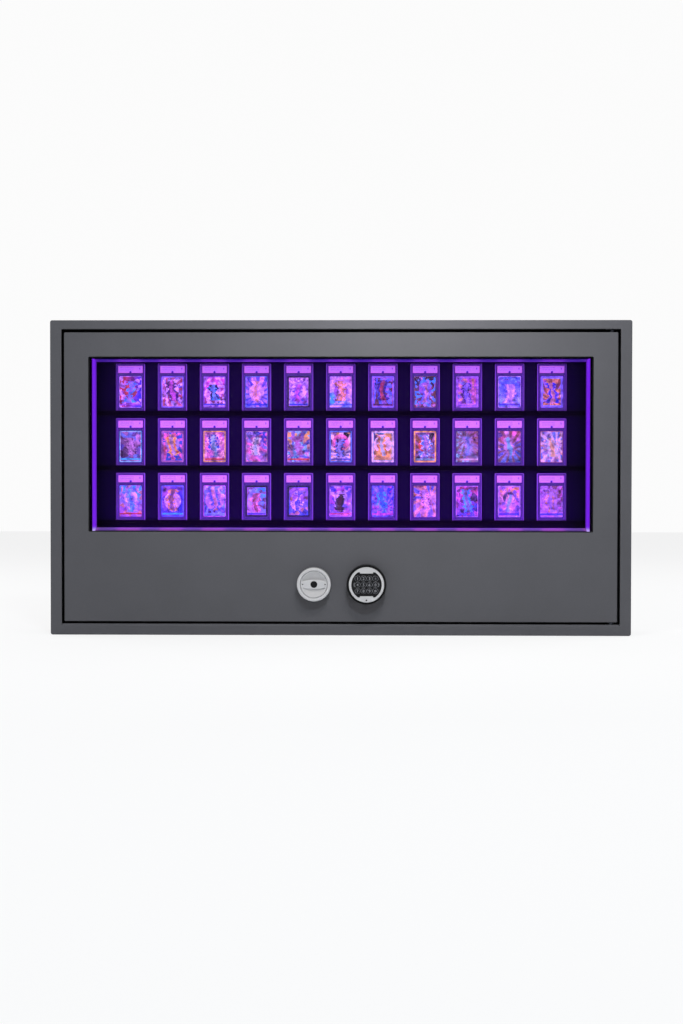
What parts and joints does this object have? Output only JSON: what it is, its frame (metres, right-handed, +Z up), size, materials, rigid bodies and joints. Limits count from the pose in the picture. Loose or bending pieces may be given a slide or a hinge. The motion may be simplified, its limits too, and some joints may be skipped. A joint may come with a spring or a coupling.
{
  "type": "trading card display case",
  "caption": "Wall-mounted lockable steel display case with a wide thick window, lit shelves of graded card holders, a turn handle and a round keypad.",
  "frame": {"origin": "centre of the wall-anchor holes, on the back plane that lies against the wall", "axes": "+X to the right seen from the front, +Y into the wall, +Z up"},
  "size_m": [1.62, 0.1852, 0.878],
  "materials": {
    "case_paint": "fine textured dark grey powder coat",
    "inner_black": "matt black powder coat",
    "bright_steel": "machined steel",
    "bolt_chrome": "polished hard chrome",
    "satin_silver": "satin plated cast metal",
    "bronze": "machined bronze",
    "bar_aluminium": "anodised aluminium",
    "light_diffuser": "opal diffuser, lit violet",
    "window_glass": "thick laminated glass",
    "clear_acrylic": "clear moulded acrylic",
    "card_print": "printed card",
    "label_print": "printed label",
    "rubber": "matt black rubber",
    "black_plastic": "fine textured black plastic",
    "key_rubber": "matt dark rubber",
    "battery_can": "plain printed battery can"
  },
  "bodies": {
    "case": {"case_wrapper": "case_paint", "front_frame": "case_paint", "back_plate": "case_paint", "cable_grommet": "rubber", "strike_bars": "case_paint", "hinge_blocks": "case_paint", "hinge_pins": "bright_steel", "facia_plate": "inner_black", "display_surround": "inner_black", "display_back_panel": "inner_black", "light_channels": "bar_aluminium", "light_diffusers": "light_diffuser", "power_supply": "bar_aluminium", "card_shelves": "inner_black", "card_holder_trays": "clear_acrylic", "card_holder_covers": "clear_acrylic", "cards": "card_print", "card_labels": "label_print"},
    "door": {"door_skin": "case_paint", "door_edge_channel": "case_paint", "glazing_gasket": "rubber", "window_glass": "window_glass", "glass_retainer": "inner_black", "door_seal": "rubber", "door_cover": "inner_black", "door_hinge_sleeves": "case_paint", "bronze_bushes": "bronze", "bolt_sleeves": "bronze", "rack_guides": "bright_steel", "lock_case": "satin_silver", "handle_escutcheon": "satin_silver", "keypad_base": "black_plastic", "keypad_faceplate": "satin_silver", "keypad_panel": "black_plastic", "keypad_cable": "rubber"},
    "handle": {"handle_rotor": "satin_silver", "handle_hub_cap": "black_plastic", "spindle": "bright_steel", "pinion": "bright_steel"},
    "left_boltwork": {"left_rack": "bright_steel", "left_bolt_bar": "bright_steel", "left_bolts": "bolt_chrome"},
    "right_boltwork": {"right_rack": "bright_steel", "right_bolt_bar": "bright_steel", "right_bolts": "bolt_chrome"},
    "lock_bolt": {"swing_bolt": "bronze"},
    "battery_holder": {"battery_drawer": "black_plastic", "battery": "battery_can"},
    "keypad_key_1": {"key_1": "key_rubber"},
    "keypad_key_2": {"key_2": "key_rubber"},
    "keypad_key_3": {"key_3": "key_rubber"},
    "keypad_key_4": {"key_4": "key_rubber"},
    "keypad_key_5": {"key_5": "key_rubber"},
    "keypad_key_6": {"key_6": "key_rubber"},
    "keypad_key_7": {"key_7": "key_rubber"},
    "keypad_key_8": {"key_8": "key_rubber"},
    "keypad_key_9": {"key_9": "key_rubber"},
    "keypad_key_10": {"key_10": "key_rubber"},
    "keypad_key_11": {"key_11": "key_rubber"},
    "keypad_key_12": {"key_12": "key_rubber"}
  },
  "joints": [
    {"name": "door_swing", "type": "hinge", "parent": "case", "child": "door", "pos_m": [0.756, -0.136, 0], "axis": [0, 0, 1], "range_deg": [0, 110]},
    {"name": "handle_turn", "type": "hinge", "parent": "door", "child": "handle", "pos_m": [-0.0724, -0.16, -0.2954], "axis": [0, -1, 0], "range_deg": [0, 90]},
    {"name": "left_bolts_slide", "type": "slide", "parent": "door", "child": "left_boltwork", "axis": [-1, 0, 0], "range_m": [0, 0.0213]},
    {"name": "right_bolts_slide", "type": "slide", "parent": "door", "child": "right_boltwork", "axis": [1, 0, 0], "range_m": [0, 0.0213]},
    {"name": "lock_bolt_swing", "type": "hinge", "parent": "door", "child": "lock_bolt", "pos_m": [-0.0194, -0.124, -0.2514], "axis": [0, 1, 0], "range_deg": [0, 60]},
    {"name": "battery_drawer_slide", "type": "slide", "parent": "door", "child": "battery_holder", "axis": [0, 0, -1], "range_m": [0, 0.045]},
    {"name": "key_1_press", "type": "slide", "parent": "door", "child": "keypad_key_1", "axis": [0, 1, 0], "range_m": [0, 0.0012], "stiffness_N_per_m": 1200},
    {"name": "key_2_press", "type": "slide", "parent": "door", "child": "keypad_key_2", "axis": [0, 1, 0], "range_m": [0, 0.0012], "stiffness_N_per_m": 1200},
    {"name": "key_3_press", "type": "slide", "parent": "door", "child": "keypad_key_3", "axis": [0, 1, 0], "range_m": [0, 0.0012], "stiffness_N_per_m": 1200},
    {"name": "key_4_press", "type": "slide", "parent": "door", "child": "keypad_key_4", "axis": [0, 1, 0], "range_m": [0, 0.0012], "stiffness_N_per_m": 1200},
    {"name": "key_5_press", "type": "slide", "parent": "door", "child": "keypad_key_5", "axis": [0, 1, 0], "range_m": [0, 0.0012], "stiffness_N_per_m": 1200},
    {"name": "key_6_press", "type": "slide", "parent": "door", "child": "keypad_key_6", "axis": [0, 1, 0], "range_m": [0, 0.0012], "stiffness_N_per_m": 1200},
    {"name": "key_7_press", "type": "slide", "parent": "door", "child": "keypad_key_7", "axis": [0, 1, 0], "range_m": [0, 0.0012], "stiffness_N_per_m": 1200},
    {"name": "key_8_press", "type": "slide", "parent": "door", "child": "keypad_key_8", "axis": [0, 1, 0], "range_m": [0, 0.0012], "stiffness_N_per_m": 1200},
    {"name": "key_9_press", "type": "slide", "parent": "door", "child": "keypad_key_9", "axis": [0, 1, 0], "range_m": [0, 0.0012], "stiffness_N_per_m": 1200},
    {"name": "key_10_press", "type": "slide", "parent": "door", "child": "keypad_key_10", "axis": [0, 1, 0], "range_m": [0, 0.0012], "stiffness_N_per_m": 1200},
    {"name": "key_11_press", "type": "slide", "parent": "door", "child": "keypad_key_11", "axis": [0, 1, 0], "range_m": [0, 0.0012], "stiffness_N_per_m": 1200},
    {"name": "key_12_press", "type": "slide", "parent": "door", "child": "keypad_key_12", "axis": [0, 1, 0], "range_m": [0, 0.0012], "stiffness_N_per_m": 1200}
  ],
  "couplings": [
    {"joint": "left_bolts_slide", "follows": "handle_turn", "m_per_rad": 0.0135},
    {"joint": "right_bolts_slide", "follows": "handle_turn", "m_per_rad": 0.0135},
    {"joint": "lock_bolt_swing", "follows": "handle_turn", "ratio": 0.666}
  ]
}
